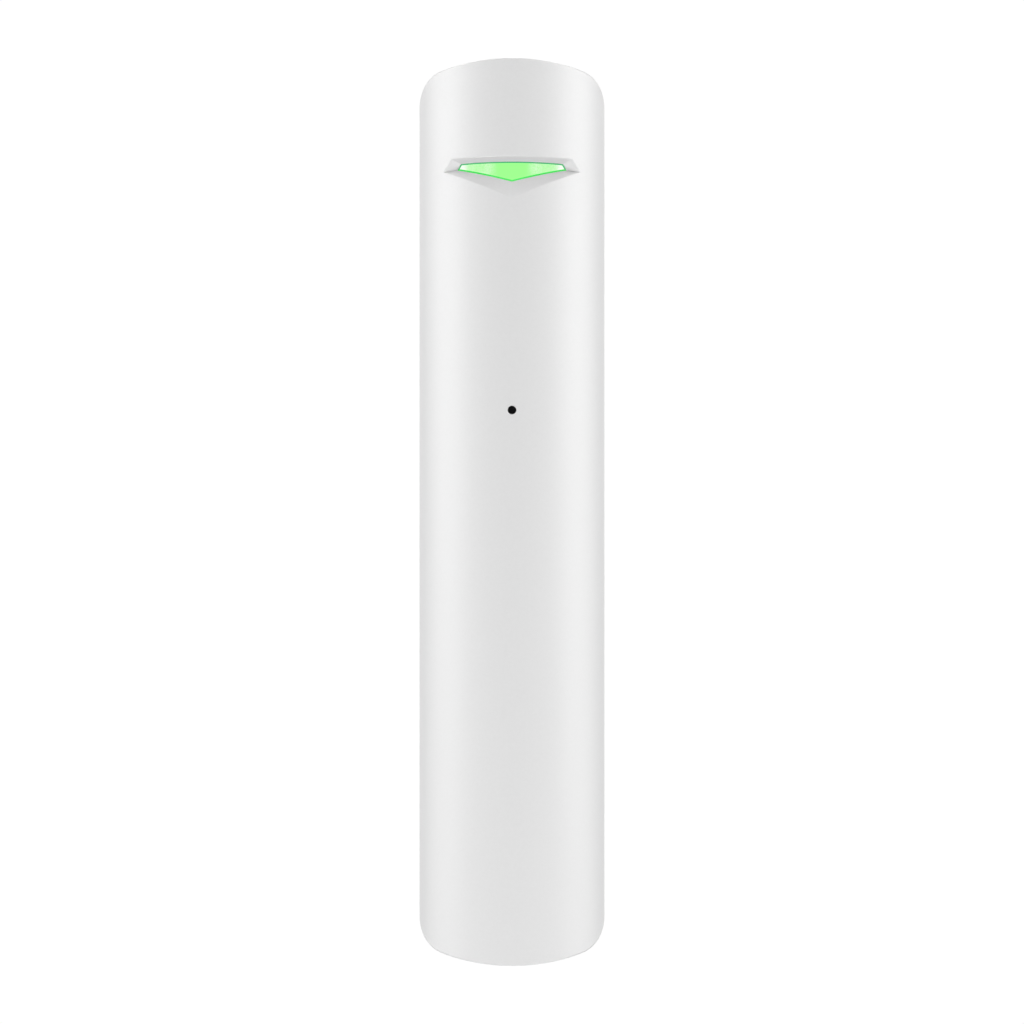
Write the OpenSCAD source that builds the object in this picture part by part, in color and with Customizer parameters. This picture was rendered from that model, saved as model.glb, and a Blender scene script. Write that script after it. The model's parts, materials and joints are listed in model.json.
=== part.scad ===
// Glass break sensor: a slim half-round acoustic detector that slides down onto a wall bracket.
// Millimetres. +Z is up, the front faces -Y, and the wall of the room is the plane y = 0.
// The origin lies on the wall face, on the centre line, at mid-height of the mounted detector.

/* [Housing] */
// Height from dome to dome
body_h = 92.2; // [92.2:0.1:112]
// Depth of the housing from the rear cover to the front line
shell_d = 18.3; // [18.3:0.1:23]
// Radius of the domed top and bottom in the front view
dome_r = 34.1; // [28:0.1:60]
// Radius where a dome meets a straight side
corner_r = 3; // [2.5:0.1:4]
// Wall of the housing
wall = 1.2; // [1:0.05:1.5]
// Thinner rim behind the seat of the rear cover
rim_wall = 0.8; // [0.6:0.05:0.9]
// Gap between the rim and the wall of the room
rim_gap = 0.4; // [0.2:0.1:0.8]

/* [Recess] */
// Depth of the light guide's face below the surface
recess_d = 1.17; // [0.8:0.01:1.6]
// Half width of the recess at its side tips
recess_tip_x = 6.99; // [6.4:0.01:7.4]
// Half width of the recess at its top corners
recess_top_x = 6.18; // [5.6:0.01:6.4]
// Top edge of the recess, below the top of the housing
recess_top = 10; // [9.5:0.01:14]
// Height of the side edges of the recess
recess_side_h = 1.22; // [1:0.01:1.6]
// Height of the whole recess, top edge to lower point
recess_h = 4.16; // [3.6:0.01:5]
// Half width of the light window at its side tips
window_tip_x = 5.64; // [5:0.01:5.8]
// Half width of the light window at its top corners
window_top_x = 5.25; // [4.6:0.01:5.4]
// Top edge of the light window, below the top edge of the recess
window_top = 0.35; // [0.25:0.01:0.7]
// Height of the side edges of the light window
window_side_h = 0.64; // [0.5:0.01:1]
// Height of the light window
window_h = 2.07; // [1.6:0.01:2.3]

/* [Light guide] */
// Depth of the collar round the guide, from the front line
collar_d = 4.4; // [4:0.1:5.5]
// Wall of the collar
collar_wall = 1; // [0.7:0.05:1.2]
// Thickness of the guide's flange
flange_t = 0.7; // [0.5:0.05:1]
// Width of the flange's rim beyond the window
flange_rim = 0.9; // [0.6:0.05:1]
// Length of one light emitting diode
led_l = 1.6; // [1:0.1:2]
// Width of one light emitting diode
led_w = 0.8; // [0.5:0.1:1.2]
// Height of one light emitting diode
led_h = 0.6; // [0.4:0.05:0.8]
// Distance of each diode from the centre line
led_x = 2.9; // [2:0.1:4]

/* [Microphone] */
// Microphone port, below the top of the housing
port_drop = 35.74; // [35.5:0.01:45]
// Diameter of the microphone port
port_d = 0.88; // [0.6:0.01:1.2]
// Diameter of the sound chamber behind the port
chamber_d = 2.4; // [1.6:0.1:3]
// Diameter of the microphone capsule
capsule_d = 6; // [4:0.1:6.4]
// Length of the microphone capsule
capsule_l = 2.7; // [1.5:0.1:2.9]
// Wall of the rubber boot
boot_wall = 0.6; // [0.4:0.05:0.8]
// Thickness of the boot's front face
boot_face = 0.5; // [0.3:0.05:0.7]
// Depth of the boot's seat, from the front line
boot_seat = 2.1; // [2:0.05:2.3]
// Diameter of the sound mesh
mesh_d = 3.6; // [3.2:0.1:4.5]
// Thickness of the sound mesh
mesh_t = 0.12; // [0.08:0.01:0.2]
// Wall of the pocket that holds the boot
pocket_wall = 1; // [0.6:0.05:1.2]

/* [Battery] */
// Diameter of the lithium cell
cell_d = 16.6; // [13.8:0.1:17.2]
// Length of the lithium cell with its button
cell_l = 34.5; // [32:0.1:34.5]
// Diameter of the cell's positive button
button_d = 6.5; // [5:0.1:8]
// Height of the cell's positive button
button_h = 1; // [0.6:0.1:1.4]
// Clearance between the cell and the housing
cell_gap = 0.25; // [0.15:0.01:0.6]
// Room for the spring contact below the cell
spring_room = 2; // [1.6:0.1:2.4]
// Room behind the spring contact's plate
plate_room = 1; // [0.9:0.1:1.4]
// Thickness of the contact plates
contact_t = 0.4; // [0.3:0.05:0.5]
// Wire diameter of the conical spring
spring_wire = 0.6; // [0.4:0.05:0.7]
// Wide end of the spring, inside the edge of the cell
spring_inset = 3.1; // [2.9:0.1:3.8]
// Radius of the spring's narrow end
spring_narrow_r = 2.4; // [2:0.1:3]
// Thickness of the return strip and of the solder lugs
strip_t = 0.3; // [0.2:0.05:0.4]
// Width of the return strip
strip_w = 3; // [2:0.1:3.2]
// Gap between the return strip and the side wall
strip_gap = 0.65; // [0.6:0.05:0.75]

/* [Circuit board] */
// Thickness of the circuit board
board_t = 1; // [0.8:0.1:1.2]
// Gap between the board's long edges and the housing
board_gap = 0.18; // [0.1:0.01:0.4]
// Gap between the board's top edge and the housing
board_end_gap = 0.9; // [0.5:0.1:1.2]
// Diameter of the board bosses
board_boss_d = 3.8; // [3.2:0.1:4.2]
// Lower board screw, above the board's lower edge
board_screw_rise = 3.4; // [3.2:0.1:3.6]
// Upper board screw, below the top of the housing
board_screw_drop = 6.2; // [5.5:0.1:6.5]
// Processor, above the microphone
processor_rise = 16.6; // [16:0.1:17]
// Amplifier, above the microphone
amplifier_rise = 8.2; // [8:0.1:8.6]
// Crystal, below the microphone
crystal_drop = 2.7; // [2.6:0.1:2.9]
// Storage capacitors, above the microphone
capacitor_rise = 4.2; // [3:0.1:6]
// Radio shield, below the top of the housing
shield_drop = 10.1; // [9:0.1:11]
// Antenna's upper end, below the top of the housing
antenna_drop = 4.6; // [4:0.1:6]

/* [Rear cover] */
// Thickness of the rear cover
cover_t = 1; // [0.8:0.1:1.4]
// Gap round the edge of the rear cover
cover_gap = 0.1; // [0.05:0.01:0.2]
// How far the lower tongues reach into the housing's end wall
tongue_reach = 0.5; // [0.3:0.05:0.6]
// How far the upper snap reaches into the housing's end wall
snap_reach = 0.3; // [0.2:0.05:0.4]
// Thickness of the tongues
tongue_t = 0.8; // [0.6:0.05:1]
// Thickness of the ribs that cradle the cell
cradle_t = 1; // [0.8:0.1:1.4]
// How far these ribs reach round the back of the cell
cradle_reach = 2.65; // [1.8:0.05:2.9]
// Hole for the cable of an external contact
cable_d = 3.8; // [3:0.1:3.9]
// Cable hole, above the terminal block's middle
cable_rise = 5.6; // [5.4:0.1:6]

/* [Bracket] */
// Thickness of the mounting bracket
bracket_t = 1.5; // [1.2:0.1:2]
// Gap between the bracket and the rear cover
seat_gap = 0.2; // [0.1:0.05:0.3]
// Gap round the bracket inside the housing's rim
bracket_gap = 0.25; // [0.15:0.01:0.4]
// How far the detector lifts before it comes off
lift = 3.5; // [2.5:0.1:4]
// Lip of each hook, beyond its stem
hook_lip = 3; // [2:0.1:3.3]
// Thickness of each hook's lip
hook_t = 0.8; // [0.6:0.05:1]
// Width of each hook
hook_w = 2; // [1.6:0.1:2.4]
// Height of each hook's stem
hook_stem = 2.2; // [1.8:0.1:2.6]
// Gap between the hooks and the side walls of the housing
hook_gap = 1.35; // [1.25:0.05:1.55]
// Margin of the moulding window behind each hook's lip
hook_window_gap = 0.2; // [0.1:0.05:0.3]
// Stems of the upper hooks, below the top of the housing
upper_hook_drop = 10; // [9:0.1:12]
// Stems of the lower hooks, above the bottom of the housing
lower_hook_rise = 14; // [13:0.1:15]
// Diameter of the wall screws' holes
wall_hole_d = 3.6; // [3:0.1:4]
// Diameter of the countersink of the wall screws' holes
countersink_d = 6; // [5:0.1:6.4]
// Upper wall screw, below the top of the housing
upper_hole_drop = 8.1; // [7.8:0.1:8.6]
// Lower wall screw, above the bottom of the housing
lower_hole_rise = 16.1; // [15:0.1:20]
// Width of the break-away tamper tab
tab_w = 9.6; // [9:0.1:11]
// Height of the break-away tamper tab
tab_h = 15; // [13:0.1:16]
// Width of the slits round the tamper tab
slit_w = 0.8; // [0.5:0.05:1]
// Width of the webs that hold the tamper tab
web_w = 1.2; // [0.8:0.1:1.6]

/* [Buttons] */
// Tamper button, above the microphone
tamper_rise = 5.1; // [4.8:0.1:5.4]
// Inward travel of the tamper button on the bracket
tamper_travel = 0.6; // [0.3:0.05:0.8]
// Outward travel of the tamper button off the bracket
tamper_release = 1; // [0.6:0.1:1.4]
// Gap between the tamper button and the bracket
tamper_gap = 0.1; // [0.05:0.01:0.2]
// Power button, above the microphone
power_rise = 11.6; // [11:0.1:12]
// Power switch, inside the edge of the board
power_inset = 0.4; // [0.3:0.05:0.6]
// Travel of the power button
power_travel = 0.5; // [0.3:0.05:0.6]
// Diameter of the button stems
stem_d = 3; // [2.6:0.1:3.2]
// Radial clearance of the button stems in their sleeves
stem_gap = 0.1; // [0.06:0.01:0.2]
// Wall of the sleeves that guide the buttons
sleeve_wall = 0.8; // [0.6:0.05:1]
// Length of the sleeves below the cover
sleeve_l = 4.5; // [3:0.1:5]

/* [Terminals] */
// Terminal block, above the microphone
terminal_rise = 12.6; // [12.4:0.1:13]
// Terminal block, inside the edge of the board
terminal_inset = 0.4; // [0.3:0.05:0.5]
// Distance between the two terminals
terminal_pitch = 3.5; // [3:0.1:3.5]
// Height of the terminal block above the board
terminal_h = 8; // [7:0.1:9]

/* [Screws] */
// Shank diameter of the cover screw
cover_screw_d = 2.2; // [1.8:0.1:2.4]
// Head diameter of the cover screw
cover_head_d = 3.8; // [3.4:0.1:4]
// Shank diameter of the board screws
board_screw_d = 1.6; // [1.4:0.1:1.8]
// Head diameter of the board screws
board_head_d = 3.2; // [2.8:0.1:3.4]

/* [Hidden] */

$fn = 96;
far = 200;
hair = 0.03;
corner_steps = 9;
dome_steps = 24;

body_r = cell_d / 2 + cell_gap + wall;
body_d = shell_d + cover_t + seat_gap + bracket_t;
axis_y = body_r - body_d;
z_top = body_h / 2;
port_z = z_top - port_drop;

cover_back = -bracket_t - seat_gap;
cover_front = cover_back - cover_t;

recess_z = z_top - recess_top;
window_z = recess_z - window_top;
face_r = body_r - recess_d;
led_z = window_z - window_h / 2;
led_gap = 0.1;
collar_back = collar_d - body_d;
board_front = collar_back + flange_t + led_gap + led_h;
board_back = board_front + board_t;
board_half = sqrt(pow(body_r - wall, 2) - pow(board_front - axis_y, 2)) - board_gap;

seat_y = boot_seat - body_d;
boot_r = capsule_d / 2 + boot_wall;
pocket_r = boot_r + 0.05;
boot_back = board_front - 0.2;
capsule_back = seat_y + boot_face + capsule_l;
pin_x = 1.27;
pin_r = 0.25;

cell_bottom = -z_top + wall + plate_room + contact_t + spring_room;
cell_top = cell_bottom + cell_l;
plate_z = cell_bottom - spring_room - contact_t;
contact_gap = 0.3;
lug_x = -4.5;
lug_w = 2;
strip_x = body_r - wall - strip_gap - strip_t;
strip_y = axis_y + 3.65;

partition_t = 1;
partition_z = cell_top + contact_t + 0.1;
cover_boss_r = 2.3;
cover_screw_z = partition_z + partition_t + 0.3 + cover_boss_r;
cover_head_h = 1.2;
cover_bore = cover_head_h + 0.1;
cover_floor = 1;
cover_pillar_r = cover_head_d / 2 + 1.3;
cover_boss_front = cover_back - cover_bore - cover_floor;
cover_screw_l = 8;

board_bottom = cover_screw_z + cover_boss_r + 0.6;
board_screw_zs = [board_bottom + board_screw_rise, z_top - board_screw_drop];
board_head_h = 1;
board_screw_l = 3;

tamper_switch_w = 6;
power_switch_w = 4.6;
tamper_z = port_z + tamper_rise;
power_x = board_half - power_inset - power_switch_w / 2;
power_z = port_z + power_rise;
sleeve_front = cover_front - sleeve_l;
stem_r = stem_d / 2;
tamper_foot_r = 1.4;
power_foot_r = 1.1;
foot_gap = 0.15;
tamper_switch_h = 3.5;
power_switch_h = 2;
switch_floor = 0.6;
lead_w = 0.3;
lead_t = 0.15;
lead_knee = 0.45;

terminal_z = port_z + terminal_rise;
terminal_w = 2 * terminal_pitch + 0.4;
terminal_x = board_half - terminal_inset - terminal_w / 2;
terminal_d = 6.8;
terminal_back = board_back + terminal_h;
cable_z = terminal_z + cable_rise;

hook_x = body_r - wall - hook_gap - hook_w / 2;
hook_tops = [z_top - upper_hook_drop, lower_hook_rise - z_top];
lip_front = cover_front - 0.1 - hook_t;
hook_side_gap = 0.2;
wall_hole_zs = [z_top - upper_hole_drop, lower_hole_rise - z_top];
tab_z = tamper_z - 1.9;
cradle_zs = [cell_top - 5, cell_top - 15, cell_bottom + 1.5];
cradle_x = strip_x - 0.3;
tongue_back = cover_front - 0.9;
tongue_x = 4.5;
tongue_w = 3;
snap_w = 5;

coil_sides = 6;
coil_steps = 16;
antenna_r = 2;
antenna_wire_r = 0.35;
antenna_l = 12;
antenna_x = board_half - antenna_r - antenna_wire_r - 0.85;
antenna_turns = 7;

// Corners of the recess and of the light window in the front view, from the lower point on
recess_corners = [
    [0, recess_z - recess_h],
    [recess_tip_x, recess_z - recess_side_h],
    [recess_top_x, recess_z],
    [-recess_top_x, recess_z],
    [-recess_tip_x, recess_z - recess_side_h]
];
window_corners = [
    [0, window_z - window_h],
    [window_tip_x, window_z - window_side_h],
    [window_top_x, window_z],
    [-window_top_x, window_z],
    [-window_tip_x, window_z - window_side_h]
];
edge_steps = [8, 1, 12, 1, 8];

function mix(a, b, t) = a + (b - a) * t;

// The outline through the corners, with each edge cut into its steps
function outline_points(corners) = [
    for (e = [0:4])
        for (i = [0:edge_steps[e] - 1])
            mix(corners[e], corners[(e + 1) % 5], i / edge_steps[e])
];

// A front-view point laid on a cylinder of radius r about the housing's axis
function on_cylinder(p, r) = [p[0], axis_y - sqrt(r * r - p[0] * p[0]), p[1]];

// Triangles of the band between ring a and ring b of n points each
function band(a, b, n) = [
    for (i = [0:n - 1])
        for (tri = [[a + i, a + (i + 1) % n, b + i], [a + (i + 1) % n, b + (i + 1) % n, b + i]])
            tri
];

// Draws a front-view shape and gives it depth from y = front to y = back
module depth(front, back) {
    translate([0, back, 0])
        rotate([90, 0, 0])
            linear_extrude(back - front)
                children();
}

// A round bar along Y
module bar(x, z, r, front, back) {
    translate([x, back, z])
        rotate([90, 0, 0])
            cylinder(r = r, h = back - front);
}

// A block given by its two corners
module block(low, high) {
    translate(low)
        cube(high - low);
}

// Slot with round ends along Z
module slot(x, z0, z1, r) {
    translate([x - r, z0])
        square([2 * r, z1 - z0]);
    for (z = [z0, z1])
        translate([x, z])
            circle(r = r);
}

// Plan of the housing, inset from the outside: a half circle in front and straight sides behind
module plan(inset) {
    r = body_r - inset;
    translate([0, axis_y])
        circle(r = r);
    translate([-r, axis_y])
        square([2 * r, -axis_y]);
}

// Points of an arc about centre c, from one angle to the other
function arc(c, r, from, to, steps) = [
    for (i = [0:steps])
        let (a = mix(from, to, i / steps))
        [c[0] + r * cos(a), c[1] + r * sin(a)]
];

// Front view of the housing, inset from the outside: straight sides, domed ends and round corners
module front_view(inset) {
    end_r = dome_r - inset;
    round_r = corner_r - inset;
    dome_z = z_top - dome_r;
    round_x = body_r - corner_r;
    round_z = dome_z + sqrt(pow(dome_r - corner_r, 2) - pow(round_x, 2));
    tilt = asin(round_x / (dome_r - corner_r));
    inner_tilt = tilt * (1 - 2 / dome_steps);
    top = [
        each arc([round_x, round_z], round_r, 0, 90 - tilt, corner_steps),
        each arc([0, dome_z], end_r, 90 - inner_tilt, 90 + inner_tilt, dome_steps - 2),
        each arc([-round_x, round_z], round_r, 90 + tilt, 180, corner_steps)
    ];
    polygon([each top, for (p = top) -p]);
}

// The housing's form inset from the outside, open to the wall, up to y = back
module form(inset, back) {
    intersection() {
        translate([0, 0, -far / 2])
            linear_extrude(far)
                plan(inset);
        depth(-body_d - 1, back)
            front_view(inset);
    }
}

// The recess and the light window as one cutter. From behind forward its rings are the window behind
// the collar, the window's edge at the guide's face, the ruled walls carried past the surface, and air.
module recess_cutter() {
    inner = outline_points(window_corners);
    outer = outline_points(recess_corners);
    n = len(inner);
    past = 0.3;
    mouth = [for (i = [0:n - 1]) mix(inner[i], outer[i], 1 + past / recess_d)];
    points = [
        for (p = inner) [p[0], collar_back + 1, p[1]],
        for (p = inner) on_cylinder(p, face_r),
        for (p = mouth) on_cylinder(p, body_r + past),
        for (p = mouth) [p[0], -body_d - 1, p[1]],
        [0, collar_back + 1, led_z],
        [0, -body_d - 1, led_z]
    ];
    faces = [
        for (i = [0:n - 1]) [4 * n, i, (i + 1) % n],
        for (ring = [0:2])
            each band((ring + 1) * n, ring * n, n),
        for (i = [0:n - 1]) [4 * n + 1, 3 * n + (i + 1) % n, 3 * n + i]
    ];
    polyhedron(points = points, faces = faces);
}

// A wire coil about Z, from radius wide to radius narrow
module coil(wide, narrow, height, turns, wire_r) {
    steps = ceil(turns * coil_steps);
    points = [
        for (i = [0:steps])
            let (t = i / steps, a = 360 * turns * t, r = mix(wide, narrow, t))
            for (j = [0:coil_sides - 1])
                let (b = 360 * j / coil_sides, q = r + wire_r * cos(b))
                [q * cos(a), q * sin(a), height * t + wire_r * sin(b)]
    ];
    last = steps * coil_sides;
    faces = [
        for (j = [1:coil_sides - 2]) [0, j + 1, j],
        for (i = [0:steps - 1])
            each band(i * coil_sides, (i + 1) * coil_sides, coil_sides),
        for (j = [1:coil_sides - 2]) [last, last + j, last + j + 1]
    ];
    polyhedron(points = points, faces = faces);
}

// Bosses, collars, pads and ribs that stand on the inside of the housing
module housing_inside() {
    depth(-body_d, collar_back)
        offset(delta = collar_wall)
            polygon(window_corners);
    bar(0, port_z, pocket_r + pocket_wall, -body_d, capsule_back - 0.7);
    for (z = board_screw_zs)
        bar(0, z, board_boss_d / 2, -body_d, board_front);
    bar(0, cover_screw_z, cover_boss_r, -body_d, cover_boss_front - 0.05);
    block([-body_r, -body_d, partition_z], [body_r, cover_front - 0.5, partition_z + partition_t]);
    for (s = [-1, 1]) {
        pad_x = s * 4.25;
        block([pad_x - 0.75, axis_y - 5, -z_top], [pad_x + 0.75, axis_y + 5, plate_z - 0.05]);
        for (z = [plate_z + contact_t + 0.1, cell_top - 0.9])
            contact_rib(s, z);
    }
}

// Short rib at the side wall that keeps a contact plate in place
module contact_rib(side, z) {
    near = body_r - wall - 1.3;
    low_x = min(side * near, side * body_r);
    block([low_x, axis_y - 2.5, z], [low_x + body_r - near, axis_y + 2, z + 0.8]);
}

module front_housing() {
    color("white")
        difference() {
            union() {
                difference() {
                    form(0, -rim_gap);
                    form(wall, 1);
                }
                intersection() {
                    form(wall / 2, -rim_gap);
                    housing_inside();
                }
            }
            depth(cover_front, 1)
                front_view(rim_wall);
            recess_cutter();
            bar(0, port_z, port_d / 2, -body_d - 1, seat_y);
            bar(0, port_z, chamber_d / 2, wall - body_d, seat_y + 1);
            bar(0, port_z, mesh_d / 2 + 0.05, seat_y - mesh_t - hair, seat_y + 1);
            bar(0, port_z, pocket_r, seat_y, 0);
            for (z = board_screw_zs)
                bar(0, z, board_screw_d / 2 + hair, board_front - board_screw_l - 0.4, 0);
            bar(0, cover_screw_z, cover_screw_d / 2 + hair, cover_back - cover_bore - cover_screw_l, 0);
            bar(0, cover_screw_z, cover_pillar_r + 0.15, cover_boss_front - 0.05, 0);
            block([strip_x - 0.2, strip_y - 0.2, partition_z - 1], [body_r - wall, 0, board_bottom]);
            block(
                [lug_x - lug_w / 2 - 0.2, board_back - 0.2, partition_z - 1],
                [lug_x + lug_w / 2 + 0.2, board_back + strip_t + 0.2, partition_z + partition_t + 1]
            );
            tongue_pockets();
        }
}

// Where the cover's tongues and its snap reach into the end walls of the housing
module tongue_pockets() {
    for (x = [-tongue_x, tongue_x])
        intersection() {
            form(wall - tongue_reach - 0.1, 0);
            tongue_room(x, tongue_w, -1, 0.1);
        }
    intersection() {
        form(wall - snap_reach - 0.1, 0);
        tongue_room(0, snap_w, 1, 0.1);
    }
}

// Space of one tongue at the bottom (end = -1) or top (end = 1), with a margin all round
module tongue_room(x, w, end, margin) {
    low_z = end < 0 ? -z_top : z_top - wall - 0.9 - margin;
    block(
        [x - w / 2 - margin, tongue_back - tongue_t - margin, low_z],
        [x + w / 2 + margin, tongue_back + margin, low_z + wall + 0.9 + margin]
    );
}

module light_guide() {
    color("lime") {
        intersection() {
            translate([0, axis_y, -far / 2])
                cylinder(r = face_r, h = far);
            depth(-body_d, collar_back)
                offset(delta = -0.04)
                    polygon(window_corners);
        }
        intersection() {
            form(wall + 0.15, 0);
            depth(collar_back, collar_back + flange_t)
                offset(delta = flange_rim)
                    polygon(window_corners);
        }
    }
}

// One light emitting diode with its clear cap
module led(x) {
    translate([x, 0, led_z]) {
        block([-led_l / 2, board_front - led_h / 2, -led_w / 2], [led_l / 2, board_front, led_w / 2]);
        block([-led_l / 3, board_front - led_h, -led_w / 2], [led_l / 3, board_front - led_h / 2, led_w / 2]);
    }
}

module led_left() {
    color("ivory")
        led(-led_x);
}

module led_right() {
    color("ivory")
        led(led_x);
}

// Sleeve that guides a button's stem, on the inside of the rear cover
module sleeve(x, z) {
    bar(x, z, stem_r + stem_gap + sleeve_wall, sleeve_front, cover_front);
}

// Ribs that cradle the cell from behind
module cradle(z) {
    for (s = [-1, 1])
        difference() {
            block(
                [min(s * 2.5, s * cradle_x), axis_y + cell_d / 2 - cradle_reach, z - cradle_t / 2],
                [max(s * 2.5, s * cradle_x), cover_front, z + cradle_t / 2]
            );
            translate([0, axis_y, z - cradle_t])
                cylinder(r = cell_d / 2 + 0.15, h = 2 * cradle_t);
        }
}

// A tongue with its foot on the rear cover
module tongue(x, w, end, reach) {
    foot = end < 0 ? [x - w / 2, -z_top + wall + 0.1] : [x - w / 2, z_top - wall - 0.9];
    intersection() {
        form(wall - reach, 0);
        block(
            [foot[0], tongue_back - tongue_t, end < 0 ? -z_top : foot[1]],
            [foot[0] + w, tongue_back, end < 0 ? foot[1] + 0.8 : z_top]
        );
    }
    intersection() {
        form(wall + 0.1, 0);
        block(
            [foot[0], tongue_back - tongue_t, end < 0 ? -z_top : foot[1]],
            [foot[0] + w, cover_front, end < 0 ? foot[1] + 0.8 : z_top]
        );
    }
}

module rear_cover() {
    color("gainsboro")
        difference() {
            union() {
                depth(cover_front, cover_back)
                    front_view(rim_wall + cover_gap);
                sleeve(0, tamper_z);
                sleeve(power_x, power_z);
                bar(0, cover_screw_z, cover_pillar_r, cover_boss_front, cover_front);
                for (z = cradle_zs)
                    cradle(z);
                for (x = [-tongue_x, tongue_x])
                    tongue(x, tongue_w, -1, tongue_reach);
                tongue(0, snap_w, 1, snap_reach);
            }
            for (x = [0, power_x])
                bar(x, x > 0 ? power_z : tamper_z, stem_r + stem_gap, sleeve_front - 1, 0);
            bar(0, cover_screw_z, cover_head_d / 2 + 0.2, cover_back - cover_bore, 0);
            bar(0, cover_screw_z, cover_screw_d / 2 + 0.2, cover_boss_front - 1, 0);
            for (top = hook_tops)
                for (s = [-1, 1])
                    hook_window(s * hook_x, top);
            bar(-terminal_x, cable_z, cable_d / 2, cover_front - 1, 0);
            for (s = [-1, 1])
                bar(s * terminal_pitch / 2 - terminal_x, terminal_z, 1.5, cover_front - 1, 0);
        }
}

// Window in the rear cover that one hook passes and slides in
module hook_window(x, top) {
    half = hook_w / 2 + hook_side_gap;
    block([x - half, cover_front - 1, top - hook_stem - lift - 0.3], [x + half, 0, top + 0.05]);
}

// One hook of the bracket: a stem through the cover and a lip that points up
module hook(x, top) {
    block([x - hook_w / 2, lip_front, top - hook_stem], [x + hook_w / 2, -bracket_t, top]);
    block([x - hook_w / 2, lip_front, top - hook_stem], [x + hook_w / 2, lip_front + hook_t, top + hook_lip]);
}

// Window through the plate behind a hook's lip, where the mould reaches the lip
module lip_window(x, top) {
    half = hook_w / 2 + hook_window_gap;
    block([x - half, -bracket_t - 1, top], [x + half, 1, top + hook_lip + hook_window_gap]);
}

// Slits that leave the tamper tab hanging on webs at its corners
module tab_slits() {
    half_w = tab_w / 2;
    half_h = tab_h / 2;
    for (s = [-1, 1]) {
        slot(s * half_w, tab_z - half_h + web_w, tab_z + half_h - web_w, slit_w / 2);
        translate([0, tab_z + s * half_h])
            square([tab_w - 2 * web_w, slit_w], center = true);
    }
}

module mounting_bracket() {
    color("whitesmoke")
        difference() {
            union() {
                depth(-bracket_t, 0)
                    intersection() {
                        front_view(rim_wall + bracket_gap);
                        translate([0, lift])
                            front_view(rim_wall + bracket_gap);
                    }
                for (top = hook_tops)
                    for (s = [-1, 1])
                        hook(s * hook_x, top);
            }
            for (top = hook_tops)
                for (s = [-1, 1])
                    lip_window(s * hook_x, top);
            for (z = wall_hole_zs)
                wall_hole(z);
            wall_hole(tab_z - 4.4);
            depth(-bracket_t - 1, 1) {
                tab_slits();
                slot(-terminal_x, cable_z, cable_z + lift, cable_d / 2);
            }
        }
}

// Countersunk hole for a wall screw
module wall_hole(z) {
    bar(0, z, wall_hole_d / 2, -bracket_t - 1, 1);
    sink = (countersink_d - wall_hole_d) / 2;
    translate([0, -bracket_t - hair, z])
        rotate([-90, 0, 0])
            cylinder(r1 = countersink_d / 2 + hair, r2 = wall_hole_d / 2, h = sink + hair);
}

module main_board() {
    color("darkgreen")
        difference() {
            intersection() {
                depth(board_front, board_back)
                    front_view(wall + board_end_gap);
                block([-board_half, -body_d, board_bottom], [board_half, 0, z_top]);
            }
            for (z = board_screw_zs)
                bar(0, z, board_screw_d / 2 + 0.15, -body_d, 0);
            for (x = [-pin_x, pin_x])
                bar(x, port_z, pin_r + 0.1, -body_d, 0);
        }
}

module microphone() {
    color("silver") {
        bar(0, port_z, capsule_d / 2, seat_y + boot_face, capsule_back);
        for (x = [-pin_x, pin_x])
            bar(x, port_z, pin_r, capsule_back - 0.1, board_back + 0.6);
    }
}

module microphone_boot() {
    color("dimgray")
        difference() {
            bar(0, port_z, boot_r, seat_y, boot_back);
            bar(0, port_z, capsule_d / 2 + hair, seat_y + boot_face, 0);
            bar(0, port_z, chamber_d / 2, -body_d, 0);
        }
}

module microphone_mesh() {
    color("black")
        bar(0, port_z, mesh_d / 2, seat_y - mesh_t, seat_y);
}

// Flat chip on the front of the board, with gull-wing leads along the given sides
module chip(z, size, leads, pitch, sides) {
    block(
        [-size[0] / 2, board_front - size[2], z - size[1] / 2],
        [size[0] / 2, board_front - 0.1, z + size[1] / 2]
    );
    for (side = sides)
        for (i = [0:leads - 1])
            translate([0, 0, z])
                rotate([0, side, 0])
                    chip_lead((i - (leads - 1) / 2) * pitch, (side % 180 == 0 ? size[1] : size[0]) / 2);
}

// One lead that leaves a chip at the given distance from its middle
module chip_lead(x, edge) {
    low_x = x - lead_w / 2;
    high_x = x + lead_w / 2;
    lead_y = board_front - 0.7;
    knee = edge + lead_knee;
    block([low_x, lead_y, edge - 0.1], [high_x, lead_y + lead_t, knee]);
    block([low_x, lead_y, knee - lead_t], [high_x, board_front, knee]);
    block([low_x, board_front - lead_t, knee - lead_t], [high_x, board_front, edge + 1]);
}

module microcontroller() {
    color("black")
        chip(port_z + processor_rise, [7, 7, 1.2], 8, 0.8, [0, 90, 180, 270]);
}

module amplifier_chip() {
    color("black")
        chip(port_z + amplifier_rise, [4.9, 3.9, 1.5], 4, 1.27, [0, 180]);
}

module crystal() {
    can_l = 10.5;
    can_w = 3.4;
    z = port_z - crystal_drop;
    color("lightgray") {
        depth(board_back, board_back + 0.5)
            crystal_plan(z, can_l, can_w / 2 + 0.25);
        depth(board_back, board_back + 3.5)
            crystal_plan(z, can_l - 0.5, can_w / 2);
    }
}

// Stadium shape of the crystal's can
module crystal_plan(z, l, r) {
    translate([r - l / 2, z - r])
        square([l - 2 * r, 2 * r]);
    for (s = [-1, 1])
        translate([s * (l / 2 - r), z])
            circle(r = r);
}

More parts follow.
